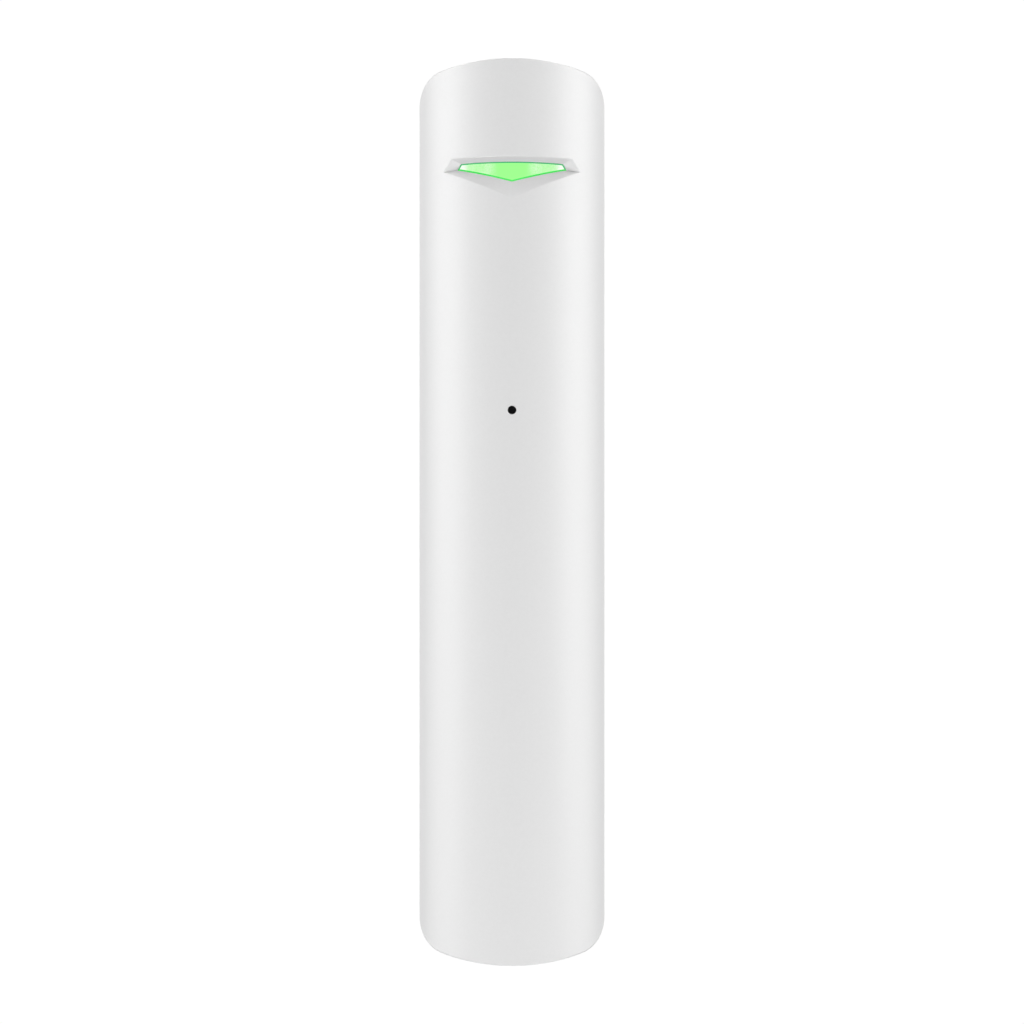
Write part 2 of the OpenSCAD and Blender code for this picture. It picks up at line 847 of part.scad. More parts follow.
module board_capacitors() {
    can_h = 5.4;
    edge = 0.1;
    base = board_half - edge - tamper_switch_w / 2 - 0.2;
    z = port_z + capacitor_rise;
    color("lightsteelblue")
        for (s = [-1, 1]) {
            x = s * (board_half - edge - base / 2);
            block([x - base / 2, board_back, z - base / 2], [x + base / 2, board_back + 0.8, z + base / 2]);
            bar(x, z, base / 2 - 0.05, board_back, board_back + can_h);
        }
    color("tan")
        for (i = [0:2])
            for (s = [-1, 1])
                block(
                    [s * 5.6 - 0.4, board_front - 0.6, port_z + 5.2 + 2.2 * i],
                    [s * 5.6 + 0.4, board_front, port_z + 6.8 + 2.2 * i]
                );
}

module radio_shield() {
    edge = 0.4;
    can = [board_half - edge - board_head_d / 2 - 0.4, 1.8, 10];
    low = [edge - board_half, board_back, z_top - shield_drop - can[2] / 2];
    high = low + can;
    sheet = 0.2;
    color("silver")
        difference() {
            block(low, high);
            block(low + [sheet, -1, sheet], high - [sheet, sheet, sheet]);
        }
}

module antenna() {
    z = z_top - antenna_drop - antenna_l;
    y = board_back + 0.4 + antenna_wire_r + antenna_r;
    color("goldenrod") {
        translate([antenna_x, y, z])
            rotate([0, 0, -90])
                coil(antenna_r, antenna_r, antenna_l, antenna_turns, antenna_wire_r);
        bar(antenna_x, z, antenna_wire_r, board_back, board_back + 0.4 + antenna_wire_r);
    }
}

module battery() {
    r = cell_d / 2;
    body_l = cell_l - button_h;
    color("slategray")
        translate([0, axis_y, cell_bottom])
            rotate_extrude()
                polygon([
                    [0, 0], [r - 0.8, 0], [r, 0.6], [r, body_l - 0.6], [r - 0.8, body_l],
                    [button_d / 2, body_l], [button_d / 2, cell_l - 0.2], [button_d / 2 - 0.2, cell_l],
                    [0, cell_l]
                ]);
}

// Contact plate shaped to the inside of the housing, with its lower face at z
module contact_plate(z) {
    intersection() {
        form(wall + contact_gap, 0);
        block([-body_r, axis_y - 7, z], [body_r, axis_y + 6.3, z + contact_t]);
    }
}

module battery_contact_positive() {
    color("gold") {
        difference() {
            contact_plate(cell_top);
            block([strip_x - 0.4, strip_y - 0.4, cell_top - 1], [body_r, 0, cell_top + 1]);
        }
        block(
            [lug_x - lug_w / 2, board_back, cell_top],
            [lug_x + lug_w / 2, board_back + strip_t, board_bottom + 2.3]
        );
    }
}

module battery_contact_negative() {
    wire_r = spring_wire / 2;
    color("gold") {
        contact_plate(plate_z);
        translate([0, axis_y, plate_z + contact_t + wire_r - 0.05])
            coil(cell_d / 2 - spring_inset, spring_narrow_r, spring_room - spring_wire, 3, wire_r);
    }
}

module battery_return_strip() {
    foot_z = plate_z + contact_t;
    tab_top = board_bottom + strip_w + 0.3;
    color("gold") {
        block([strip_x, strip_y, foot_z], [strip_x + strip_t, strip_y + strip_w, tab_top]);
        block([strip_x - 2.6, strip_y, foot_z], [strip_x + strip_t, strip_y + strip_w, foot_z + strip_t]);
        block([strip_x, board_back, tab_top - strip_w], [strip_x + strip_t, strip_y + strip_w, tab_top]);
        block(
            [board_half - 1.5, board_back, tab_top - strip_w],
            [strip_x + strip_t, board_back + strip_t, tab_top]
        );
    }
}

// A long button: a stem in its sleeve, a flange below the sleeve and a foot in its switch
module button(x, z, tip, flange_back, foot_end, foot_r) {
    bar(x, z, stem_r, flange_back - 0.1, tip);
    bar(x, z, stem_r + sleeve_wall, flange_back - 0.8, flange_back);
    bar(x, z, foot_r, foot_end, flange_back - 0.1);
}

// A push switch on the back of the board, with a round well for the button's foot
module push_switch(x, z, w, h, well_r) {
    difference() {
        union() {
            block([x - w / 2, board_back, z - w / 2], [x + w / 2, board_back + h - 0.4, z + w / 2]);
            bar(x, z, well_r + 0.6, board_back, board_back + h);
        }
        bar(x, z, well_r, board_back + switch_floor, 0);
    }
}

module tamper_button() {
    color("white")
        button(
            0, tamper_z, tamper_gap * -1 - bracket_t, sleeve_front - tamper_release - 0.05,
            board_back + switch_floor + tamper_travel + 0.3, tamper_foot_r
        );
}

module tamper_switch() {
    color("dimgray")
        push_switch(0, tamper_z, tamper_switch_w, tamper_switch_h, tamper_foot_r + foot_gap);
}

module power_button() {
    color("white")
        button(
            power_x, power_z, cover_back - 0.05, sleeve_front - 0.05,
            board_back + switch_floor + power_travel + 0.3, power_foot_r
        );
}

module power_switch() {
    color("dimgray")
        push_switch(power_x, power_z, power_switch_w, power_switch_h, power_foot_r + foot_gap);
}

module terminal_block() {
    x0 = -terminal_x - terminal_w / 2;
    z0 = terminal_z - terminal_d / 2;
    color("seagreen")
        difference() {
            block([x0, board_back, z0], [x0 + terminal_w, terminal_back, z0 + terminal_d]);
            for (s = [-1, 1]) {
                x = s * terminal_pitch / 2 - terminal_x;
                bar(x, terminal_z, 1.4, terminal_back - 1.4, terminal_back + 1);
                bar(x, terminal_z, 0.95, terminal_back - 3.6, terminal_back);
                translate([x, board_back + 3, z0 + terminal_d - 3])
                    cylinder(r = 1.1, h = 4);
            }
        }
}

module terminal_screws() {
    color("silver")
        for (s = [-1, 1]) {
            x = s * terminal_pitch / 2 - terminal_x;
            difference() {
                union() {
                    bar(x, terminal_z, 1.3, terminal_back - 1.4, terminal_back - 0.4);
                    bar(x, terminal_z, 0.9, terminal_back - 3.4, terminal_back - 1.3);
                }
                block(
                    [x - 0.25, terminal_back - 0.9, terminal_z - 2],
                    [x + 0.25, terminal_back, terminal_z + 2]
                );
            }
        }
}

// Screw along Y with a cross in its head, driven from behind
module screw(z, head_r, head_h, shank_r, shank_l, head_front) {
    difference() {
        union() {
            bar(0, z, head_r, head_front, head_front + head_h);
            bar(0, z, shank_r, head_front - shank_l, head_front + 0.1);
        }
        for (a = [0, 90])
            translate([0, head_front + head_h, z])
                rotate([0, a, 0])
                    cube([head_r * 1.2, head_h, head_r * 0.3], center = true);
    }
}

module cover_screw() {
    color("silver")
        screw(
            cover_screw_z, cover_head_d / 2, cover_head_h, cover_screw_d / 2,
            cover_screw_l - 0.4, cover_back - cover_bore
        );
}

module board_screws() {
    color("silver")
        for (z = board_screw_zs)
            screw(z, board_head_d / 2, board_head_h, board_screw_d / 2, board_t + board_screw_l, board_back);
}

front_housing();
light_guide();
rear_cover();
mounting_bracket();
main_board();
microphone();
microphone_boot();
microphone_mesh();
led_left();
led_right();
microcontroller();
amplifier_chip();
crystal();
board_capacitors();
radio_shield();
antenna();
battery();
battery_contact_positive();
battery_contact_negative();
battery_return_strip();
tamper_button();
tamper_switch();
power_button();
power_switch();
terminal_block();
terminal_screws();
cover_screw();
board_screws();
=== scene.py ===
import json
import math

import bmesh
import bpy
import numpy as np
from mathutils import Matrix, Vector
from mathutils.geometry import delaunay_2d_cdt


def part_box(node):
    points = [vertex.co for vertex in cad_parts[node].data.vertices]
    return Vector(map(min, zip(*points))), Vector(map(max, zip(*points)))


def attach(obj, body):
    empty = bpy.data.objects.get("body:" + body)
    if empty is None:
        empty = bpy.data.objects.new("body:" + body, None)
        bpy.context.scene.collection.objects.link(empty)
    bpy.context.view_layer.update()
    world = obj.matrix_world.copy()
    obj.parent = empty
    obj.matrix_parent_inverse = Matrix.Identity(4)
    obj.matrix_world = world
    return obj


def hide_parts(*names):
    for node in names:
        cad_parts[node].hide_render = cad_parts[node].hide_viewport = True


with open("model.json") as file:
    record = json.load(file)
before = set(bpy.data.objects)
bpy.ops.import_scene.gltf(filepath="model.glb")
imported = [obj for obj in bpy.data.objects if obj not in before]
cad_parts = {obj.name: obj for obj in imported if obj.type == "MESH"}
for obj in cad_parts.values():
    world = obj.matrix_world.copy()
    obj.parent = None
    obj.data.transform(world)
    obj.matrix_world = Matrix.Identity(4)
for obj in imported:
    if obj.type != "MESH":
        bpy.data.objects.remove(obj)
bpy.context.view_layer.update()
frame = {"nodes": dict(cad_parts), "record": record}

nodes = frame["nodes"]
MM = 0.001

# Camera at the photograph's viewing angle: straight on, at mid-height, with a long lens
cam_data = bpy.data.cameras.new("camera")
cam_data.lens = 85
cam_data.sensor_width = 36
cam_data.clip_start = 0.01
camera = bpy.data.objects.new("camera", cam_data)
camera.location = (0, -0.26635, 0)
camera.rotation_euler = (math.pi / 2, 0, 0)
bpy.context.scene.collection.objects.link(camera)
bpy.context.scene.camera = camera


def gem(top, height, side_h, tip_x, top_x):
    """Corners (x, z) of a gem outline: lower point, right tip, top corners, left tip."""
    side_z = top - side_h
    return [(0, top - height), (tip_x, side_z), (top_x, top), (-top_x, top), (-tip_x, side_z)]


# Measures of the housing, in mm
lo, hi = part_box("front_housing")
BODY_R = hi.x / MM
Z_TOP = hi.z / MM
BACK_Y = hi.y / MM
AXIS_Y = lo.y / MM + BODY_R
DOME_R = 34.1
CORNER_R = 3.0
RIM_WALL = 0.8
PORT_Z = Z_TOP - 35.74
PORT_R = 0.44
PORT_BACK = lo.y / MM + 1.2
RECESS_D = 1.17
FACE_R = BODY_R - RECESS_D
RECESS_Z = Z_TOP - 10
WINDOW_Z = RECESS_Z - 0.35
RECESS = gem(RECESS_Z, 4.16, 1.22, 6.99, 6.18)
WINDOW = gem(WINDOW_Z, 2.07, 0.64, 5.64, 5.25)
GEM_SIDES = 5

# Radii of its fine edges, in mm
END_FILLET = 0.18
BACK_FILLET = 0.2
RIM_EDGE = 0.1
PORT_EDGE = 0.05

DOME_Z = Z_TOP - DOME_R
ROUND_X = BODY_R - CORNER_R
ROUND_Z = DOME_Z + math.sqrt((DOME_R - CORNER_R) ** 2 - ROUND_X**2)
TILT = math.asin(ROUND_X / (DOME_R - CORNER_R))
QUARTER = BODY_R * math.pi / 2
BACK_EDGE = BACK_Y - BACK_FILLET

# How finely the curves are drawn
CORNER_STEPS = 28
DOME_STEPS = 96
FILLET_STEPS = 6
EDGE_STEPS = 4
PORT_SIDES = 48
GEM_STEPS = [26, 6, 40, 6, 26]

# Tolerances, in mm, and the smallest doubled area of a triangle, in square mm: in general, and
# inside a ring with straight edges, where anything smaller is a sliver along such an edge
WELDS_PER_MM = 20000
NEAR = 1e-3
NEAR_CURVE = 2e-3
MIN_AREA = 1e-9
SLIVER_AREA = 1e-4


def lerp(a, b, t):
    return a + (b - a) * t


def unit(v):
    return v / np.linalg.norm(v)


def limited(v):
    """A sine or cosine without its rounding error."""
    return max(-1, min(1, v))


def arc_length(x):
    return BODY_R * math.asin(limited(x / BODY_R))


def quarter_turn(steps):
    return [math.pi / 2 * k / steps for k in range(steps + 1)]


def on_cylinder(x, z, r=BODY_R):
    """A front-view point laid on the cylinder of radius r about the housing's axis."""
    return np.array([x, AXIS_Y - math.sqrt(max(r * r - x * x, 0)), z])


def wrapped(s, z):
    """Point and normal of the front surface at arc length s from the centre line."""
    if abs(s) <= QUARTER:
        a = s / BODY_R
        n = np.array([math.sin(a), -math.cos(a), 0])
        return np.array([BODY_R * n[0], AXIS_Y + BODY_R * n[1], z]), n
    side = math.copysign(1, s)
    return np.array([side * BODY_R, AXIS_Y + abs(s) - QUARTER, z]), np.array([side, 0, 0])


def end_outline():
    """Points (x, z) and normals of the top outline, from the right over the dome to the left."""
    side = math.pi / 2 - TILT
    corner, dome = range(CORNER_STEPS + 1), range(1, DOME_STEPS)
    arcs = (
        (ROUND_X, ROUND_Z, CORNER_R, 0, side, CORNER_STEPS, corner),
        (0, DOME_Z, DOME_R, side, 2 * TILT, DOME_STEPS, dome),
        (-ROUND_X, ROUND_Z, CORNER_R, math.pi / 2 + TILT, side, CORNER_STEPS, corner),
    )
    out = []
    for x, z, r, start, sweep, steps, places in arcs:
        for i in places:
            a = start + sweep * i / steps
            out.append((x + r * math.cos(a), z + r * math.sin(a), math.cos(a), math.sin(a)))
    return out


class Builder:
    """Collects faces with their corner normals, and joins equal points."""

    def __init__(self):
        self.points, self.index = [], {}
        self.faces, self.normals, self.slots = [], [], []

    def vertex(self, p):
        key = tuple(int(round(c * WELDS_PER_MM)) for c in p)
        if key not in self.index:
            self.index[key] = len(self.points)
            self.points.append(tuple(float(c) for c in p))
        return self.index[key]

    def face(self, corners, normals, slot=0):
        ids = [self.vertex(p) for p in corners]
        kept = [i for i in range(len(ids)) if ids[i] != ids[i - 1]]
        if len(kept) < 3 or len({ids[i] for i in kept}) < len(kept):
            return
        self.faces.append([ids[i] for i in kept])
        self.normals.append([normals[i] for i in kept])
        self.slots.append(slot)

    def rows(self, rows, closed=False, flip=False):
        """Quads from each row to the next. A row is its points and their normals."""
        for (a, na), (b, nb) in zip(rows, rows[1:]):
            n = len(a)
            for i in range(n if closed else n - 1):
                j = (i + 1) % n
                corners, normals = [a[i], a[j], b[j], b[i]], [na[i], na[j], nb[j], nb[i]]
                if flip:
                    corners, normals = corners[::-1], normals[::-1]
                self.face(corners, normals)

    def cad_faces(self, node, keep):
        """The faces of a CAD node whose vertex numbers pass the test, with their own normals."""
        mesh = nodes[node].data
        co = cad_points(node) / MM
        for poly in mesh.polygons:
            ids = list(poly.vertices)
            if keep(ids):
                normals = [np.array(mesh.corner_normals[k].vector) for k in poly.loop_indices]
                self.face([co[i] for i in ids], normals)

    def object(self, name, materials):
        mesh = bpy.data.meshes.new(name)
        mesh.from_pydata([tuple(c * MM for c in p) for p in self.points], [], self.faces)
        mesh.polygons.foreach_set("use_smooth", [True] * len(self.faces))
        mesh.polygons.foreach_set("material_index", self.slots)
        normals = [tuple(unit(np.array(n, float))) for f in self.normals for n in f]
        mesh.normals_split_custom_set(normals)
        for m in materials:
            mesh.materials.append(m)
        obj = bpy.data.objects.new(name, mesh)
        bpy.context.scene.collection.objects.link(obj)
        return obj


def cad_points(node):
    """The vertices of a CAD node, in metres."""
    return np.array([v.co for v in nodes[node].data.vertices])


def quad_normal(c):
    return unit(np.cross(c[1] - c[0], c[3] - c[0]))


def forward(n):
    """The normal, turned to the front if it points to the back."""
    return n if n[1] < 0 else -n


def inside(points, loop):
    """Which of the points lie inside the closed loop."""
    x, y = points[:, 0], points[:, 1]
    hit = np.zeros(len(points), bool)
    n = len(loop)
    for i in range(n):
        (x0, y0), (x1, y1) = loop[i], loop[(i + 1) % n]
        if y0 == y1:
            continue
        cross = (y0 > y) != (y1 > y)
        hit ^= cross & (x < (x1 - x0) * (y - y0) / (y1 - y0) + x0)
    return hit


def between(points, rings):
    """Which of the points lie inside the first ring and outside the others."""
    hit = inside(points, rings[0])
    for hole in rings[1:]:
        hit &= ~inside(points, hole)
    return hit


def near_loop(points, loop, margin):
    """Which of the points lie closer to the loop than the margin."""
    out = np.zeros(len(points), bool)
    n = len(loop)
    for i in range(n):
        a, b = np.array(loop[i]), np.array(loop[(i + 1) % n])
        d = b - a
        t = np.clip(((points - a) @ d) / max(d @ d, 1e-12), 0, 1)
        out |= np.linalg.norm(points - a - t[:, None] * d, axis=1) < margin
    return out


def grid_points(*fields):
    """Points of fields, each given by the places of its columns and of its rows."""
    return np.array([(x, z) for columns, rows in fields for x in columns for z in rows])


def triangulated(rings, grid=(), min_area=MIN_AREA):
    """Points and counterclockwise triangles of what lies between the rings, through a grid."""
    coords, edges = [], []
    for ring in rings:
        base, n = len(coords), len(ring)
        coords += [Vector(p) for p in ring]
        edges += [(base + i, base + (i + 1) % n) for i in range(n)]
    coords += [Vector(p) for p in grid]
    made = delaunay_2d_cdt(coords, edges, [], 0, 1e-6, False)
    xy = np.array([tuple(v) for v in made[0]])
    tris = np.array([f for f in made[2] if len(f) == 3])
    out = []
    for t in tris[between(xy[tris].mean(axis=1), rings)]:
        (x0, y0), (x1, y1), (x2, y2) = xy[t]
        area = (x1 - x0) * (y2 - y0) - (x2 - x0) * (y1 - y0)
        if abs(area) >= min_area:
            out.append(t if area > 0 else t[::-1])
    return xy, out


def offset_corners(corners, d):
    """The corners of a counterclockwise outline moved outward by d, mitred."""
    n = len(corners)
    out = []
    for i in range(n):
        p, q, r = (np.array(corners[(i + k) % n], float) for k in (-1, 0, 1))
        e0, e1 = unit(q - p), unit(r - q)
        n0, n1 = np.array([e0[1], -e0[0]]), np.array([e1[1], -e1[0]])
        out.append(tuple(q + (n0 + n1) * d / (1 + n0 @ n1)))
    return out


def edge_point(corners, k, t):
    """The point at share t of a gem outline's edge k."""
    return lerp(np.array(corners[k], float), np.array(corners[(k + 1) % GEM_SIDES], float), t)


def edge_places(k):
    """Places along a gem outline's edge, close together at its corners."""
    n = GEM_STEPS[k]
    first, second = (0.012, 0.03) if n > 10 else (0.05, 0.12)
    middle = [lerp(second, 1 - second, i / n) for i in range(n + 1)]
    return [0, first] + middle + [1 - first]


def outline_points(corners):
    """Points of a gem outline, each with its edge and its place on it."""
    return [(edge_point(corners, k, t), k, t) for k in range(GEM_SIDES) for t in edge_places(k)]


def add_end_fillets(b, outline):
    """The ends with their fillets. Gives the line (s, z) where a fillet meets the front."""
    contact, fillets = [], []
    for x, z, nx, nz in outline:
        c = on_cylinder(x, z)
        n1 = np.array([x / BODY_R, (c[1] - AXIS_Y) / BODY_R, 0])
        n2 = np.array([nx, 0, nz])
        centre = c - END_FILLET * (n1 + n2) / (1 + n1 @ n2)
        angle = math.acos(limited(n1 @ n2))
        line = []
        for i in range(FILLET_STEPS + 1):
            t = i / FILLET_STEPS
            n = n1
            if angle >= 1e-4:
                share1, share2 = math.sin((1 - t) * angle), math.sin(t * angle)
                n = (share1 * n1 + share2 * n2) / math.sin(angle)
            line.append((centre + END_FILLET * n, unit(n)))
        p1, p2 = line[0][0], line[-1][0]
        contact.append((arc_length(p1[0]), p1[2]))
        line[0] = (wrapped(*contact[-1])[0], n1)
        line[-1] = (np.array([x, p2[1], z]), n2)
        line.append((np.array([x, BACK_EDGE, z]), n2))
        fillets.append(line)
    for end in (1, -1):
        mirror = np.array([1, 1, end])
        rows = []
        for row in zip(*fillets):
            rows.append(([p * mirror for p, n in row], [n * mirror for p, n in row]))
        b.rows(rows, flip=end > 0)
    return contact


def add_back_edge(b, outline):
    """The rounded back edge and the rim's back face, all round."""
    loop = outline + [(-x, -z, -nx, -nz) for x, z, nx, nz in outline]
    rows = []
    for a in quarter_turn(EDGE_STEPS):
        drop, y = 1 - math.cos(a), BACK_EDGE + BACK_FILLET * math.sin(a)
        points, normals = [], []
        for x, z, nx, nz in loop:
            points.append(np.array([x - nx * BACK_FILLET * drop, y, z - nz * BACK_FILLET * drop]))
            normals.append(np.array([nx * math.cos(a), math.sin(a), nz * math.cos(a)]))
        rows.append((points, normals))
    rim = [np.array([x - nx * RIM_WALL, BACK_Y, z - nz * RIM_WALL]) for x, z, nx, nz in loop]
    rows.append((rim, [np.array([0, 1, 0])] * len(loop)))
    b.rows(rows, closed=True, flip=True)


def add_front(b, contact, recess_loop, port_loop):
    """The half-round front and the straight sides, unrolled, round the recess and the port."""
    side_s = QUARTER + BACK_EDGE - AXIS_Y
    top = [(side_s, ROUND_Z)] + contact + [(-side_s, ROUND_Z)]
    rings = (top + [(-s, -z) for s, z in top], recess_loop, port_loop)
    grid = grid_points(
        (np.linspace(-QUARTER, QUARTER, 105), np.linspace(-Z_TOP, Z_TOP, 47)),
        (np.linspace(-8.5, 8.5, 69), np.linspace(31, 37.2, 26)),
        (np.linspace(-1.4, 1.4, 15), np.linspace(PORT_Z - 1.4, PORT_Z + 1.4, 15)),
    )
    keep = between(grid, rings)
    for ring, margin in zip(rings, (0.08, 0.06, 0.06)):
        keep &= ~near_loop(grid, ring, margin)
    xy, tris = triangulated(rings, grid[keep])
    laid = [wrapped(s, z) for s, z in xy]
    for t in tris:
        b.face([laid[i][0] for i in t], [laid[i][1] for i in t])


def ruled(p, q, v):
    """Point at share v of the line from p on the surface to q on the window's edge."""
    return lerp(on_cylinder(*p), on_cylinder(*q, FACE_R), v)


def facet_normal(k, t, v):
    """Normal of the recess's wall k at place t along it and share v of its depth."""
    def at(t, v):
        return ruled(edge_point(RECESS, k, t), edge_point(WINDOW, k, t), v)

    t = min(max(t, 0.01), 0.99)
    along = at(t + 0.005, v) - at(t - 0.005, v)
    down = at(t, v + 0.01) - at(t, v - 0.01)
    return forward(unit(np.cross(along, down)))


def wall_normal(k, t, v):
    """The facet's normal, turned half way to the next facet at the corners."""
    n = facet_normal(k, t, v)
    if t == 0:
        n = unit(n + facet_normal((k - 1) % GEM_SIDES, 1, v))
    return n


def add_recess(b, recess_loop):
    """The gem-cut recess: ruled walls down to the window's edge, with a fine rounded rim."""
    outer, inner = outline_points(RECESS), outline_points(WINDOW)
    wall_spread = 0.5
    rim_fullness = 0.45
    rim_v = RIM_EDGE / math.sqrt(RECESS_D**2 + wall_spread**2)
    walls = []
    for v in (rim_v, 0.25, 0.5, 0.75, 1):
        points = [ruled(p, q, v) for (p, k, t), (q, _, _) in zip(outer, inner)]
        walls.append((points, [wall_normal(k, t, v) for p, k, t in outer]))
    surface = [wrapped(s, z) for s, z in recess_loop]
    rim, half = [], []
    for (point, normal), low, low_normal, (p, k, t) in zip(surface, *walls[0], outer):
        rim.append(lerp((point + low) / 2, on_cylinder(*p), rim_fullness))
        half.append(unit(normal + low_normal))
    b.rows([([p for p, n in surface], [n for p, n in surface]), (rim, half)] + walls, closed=True)


def add_port(b, port_loop):
    """The port: a rounded edge and its wall."""
    rows = []
    for a in quarter_turn(EDGE_STEPS):
        r = PORT_R + PORT_EDGE * (1 - math.sin(a))
        sink = np.array([0, PORT_EDGE * (1 - math.cos(a)), 0])
        points, normals = [], []
        for i in range(PORT_SIDES):
            w = 2 * math.pi * i / PORT_SIDES
            points.append(on_cylinder(r * math.cos(w), PORT_Z + r * math.sin(w)) + sink)
            normals.append(np.array([
                -math.cos(w) * math.sin(a), -math.cos(a), -math.sin(w) * math.sin(a),
            ]))
        rows.append((points, normals))
    rows[0] = ([wrapped(*p)[0] for p in port_loop], rows[0][1])
    rows.append(([np.array([p[0], PORT_BACK, p[2]]) for p in rows[-1][0]], rows[-1][1]))
    b.rows(rows, closed=True)


def add_inside(b):
    """The inside of the CAD node: every face that the drawn outside doesn't stand for."""
    co = cad_points("front_housing") / MM
    x, y, z = co[:, 0], co[:, 1], np.abs(co[:, 2])
    radius = np.hypot(x, y - AXIS_Y)
    dome = np.abs(np.hypot(x, z - DOME_Z) - DOME_R)
    corner = np.abs(np.hypot(np.abs(x) - ROUND_X, z - ROUND_Z) - CORNER_R)
    gem_plan = inside(co[:, [0, 2]], offset_corners(RECESS, 0.03))
    replaced = (
        ((np.abs(radius - BODY_R) < NEAR_CURVE) & (y < AXIS_Y + NEAR))
        | ((np.abs(x) > BODY_R - NEAR_CURVE) & (y > AXIS_Y - NEAR)),
        (z > ROUND_Z - NEAR) & ((dome < NEAR_CURVE) | (corner < NEAR_CURVE)),
        gem_plan & (radius > FACE_R - 5e-3) & (y < AXIS_Y),
        y > BACK_Y - NEAR_CURVE,
        (np.hypot(x, co[:, 2] - PORT_Z) < PORT_R + NEAR_CURVE) & (y < PORT_BACK + NEAR_CURVE),
    )
    b.cad_faces("front_housing", lambda ids: not any(side[ids].all() for side in replaced))


def build_shell():
    b = Builder()
    outline = end_outline()
    rim = outline_points(offset_corners(RECESS, RIM_EDGE))
    recess_loop = [(arc_length(p[0]), p[1]) for p, k, t in rim]
    r = PORT_R + PORT_EDGE
    turns = [2 * math.pi * i / PORT_SIDES for i in range(PORT_SIDES)]
    port_loop = [(r * math.cos(w), PORT_Z + r * math.sin(w)) for w in turns]
    contact = add_end_fillets(b, outline)
    add_back_edge(b, outline)
    add_front(b, contact, recess_loop, port_loop)
    add_recess(b, recess_loop)
    add_port(b, port_loop)
    add_inside(b)
    return b


def build_guide():
    """The light guide with a bevelled rim, on the places of its CAD node."""
    b = Builder()
    flange_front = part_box("light_guide")[1].y / MM - 0.7
    loops = []
    for inset, sink in ((0.02, 0.08), (0.17, 0.0)):
        rim = outline_points(offset_corners(WINDOW, -inset))
        loops.append([on_cylinder(*p, FACE_R - sink) for p, k, t in rim])
    low, high = loops
    edges = [k for p, k, t in rim]
    n = len(low)
    # Painted shade and light on the rim: teal on its top and sides, the bevel in shadow, and vivid
    # green on its two lower edges, painted lit.
    teal, green = 1, 2
    for i in range(n):
        j = (i + 1) % n
        c = [low[i], low[j], high[j], high[i]]
        b.face(c, [forward(quad_normal(c))] * 4, green if edges[i] in (0, 4) else teal)
    # The face, on the cylinder
    rim = [(p[0], p[2]) for p in high]
    grid = grid_points((np.linspace(-5.4, 5.4, 73), np.linspace(WINDOW_Z - 2, WINDOW_Z, 17)))
    keep = inside(grid, rim) & ~near_loop(grid, rim, 0.04)
    xy, tris = triangulated([rim], grid[keep], SLIVER_AREA)
    for t in tris:
        c = [on_cylinder(*xy[i], FACE_R) for i in t]
        b.face(c, [unit(np.array([p[0], p[1] - AXIS_Y, 0])) for p in c])
    # The side walls back to the flange
    for i in range(n):
        p, q = low[i], low[(i + 1) % n]
        c = [p, np.array([p[0], flange_front, p[2]]), np.array([q[0], flange_front, q[2]]), q]
        b.face(c, [quad_normal(c)] * 4)
    # The flange comes from the CAD node
    y = cad_points("light_guide")[:, 1] / MM
    b.cad_faces("light_guide", lambda ids: y[ids].min() > flange_front - NEAR)
    return b


def build_core():
    """White body of the guide just behind its lit face. It gives the recess its bounced light."""
    b = Builder()
    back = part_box("light_guide")[1].y / MM - 0.75
    core_r = FACE_R - 0.06
    rim = [p for p, k, t in outline_points(offset_corners(WINDOW, -0.16))]
    front = [on_cylinder(*p, core_r) for p in rim]
    rear = [np.array([p[0], back, p[1]]) for p in rim]
    for i in range(len(rim)):
        j = (i + 1) % len(rim)
        c = [front[i], rear[i], rear[j], front[j]]
        b.face(c, [quad_normal(c)] * 4)
    xy, tris = triangulated([rim], min_area=SLIVER_AREA)
    for t in tris:
        c = [on_cylinder(*xy[i], core_r) for i in t]
        b.face(c, [unit(np.array([p[0], -8, 0])) for p in c])
    return b


def new_material(name):
    """A material with its node tree and its shader."""
    m = bpy.data.materials.new(name)
    m.use_nodes = True
    return m, m.node_tree, m.node_tree.nodes["Principled BSDF"]


def feed(t, socket, value):
    """Links a socket to another node's output, or sets it to a number, a vector or a colour."""
    if isinstance(value, bpy.types.NodeSocket):
        t.links.new(value, socket)
    elif socket.type == "RGBA":
        socket.default_value = (*value, 1)
    else:
        socket.default_value = value


def add(t, kind, **settings):
    """A new node, with its inputs and its settings by name."""
    n = t.nodes.new(kind)
    for k, v in settings.items():
        if k in n.inputs:
            feed(t, n.inputs[k], v)
        else:
            setattr(n, k, v)
    return n


def shade_with(t, shader, **inputs):
    """Feeds the shader's inputs. An underscore stands for a space in their names."""
    for k, v in inputs.items():
        feed(t, shader.inputs[k.replace("_", " ")], v)


def maths(t, op, *values, clamp=False):
    n = add(t, "ShaderNodeMath", operation=op, use_clamp=clamp)
    for socket, value in zip(n.inputs, values):
        feed(t, socket, value)
    return n.outputs[0]


def times(t, a, b):
    return maths(t, "MULTIPLY", a, b)


def plus(t, a, b, clamp=False):
    return maths(t, "ADD", a, b, clamp=clamp)


def minus(t, a, b):
    return maths(t, "SUBTRACT", a, b)


def place(t, kind="Object"):
    return add(t, "ShaderNodeTexCoord").outputs[kind]


def place_xyz(t, kind="Object"):
    return add(t, "ShaderNodeSeparateXYZ", Vector=place(t, kind)).outputs


def noise(t, scale, detail=2, rough=0.5, stretch=None):
    where = place(t)
    if stretch:
        where = add(t, "ShaderNodeMapping", Vector=where, Scale=stretch).outputs["Vector"]
    n = add(t, "ShaderNodeTexNoise", Scale=scale, Detail=detail, Roughness=rough, Vector=where)
    return n.outputs["Fac"]


def waves(t, scale):
    """Bands across X and bands across Z."""
    out = []
    for axis in ("X", "Z"):
        n = add(t, "ShaderNodeTexWave", Scale=scale, Vector=place(t), bands_direction=axis)
        out.append(n.outputs["Fac"])
    return out


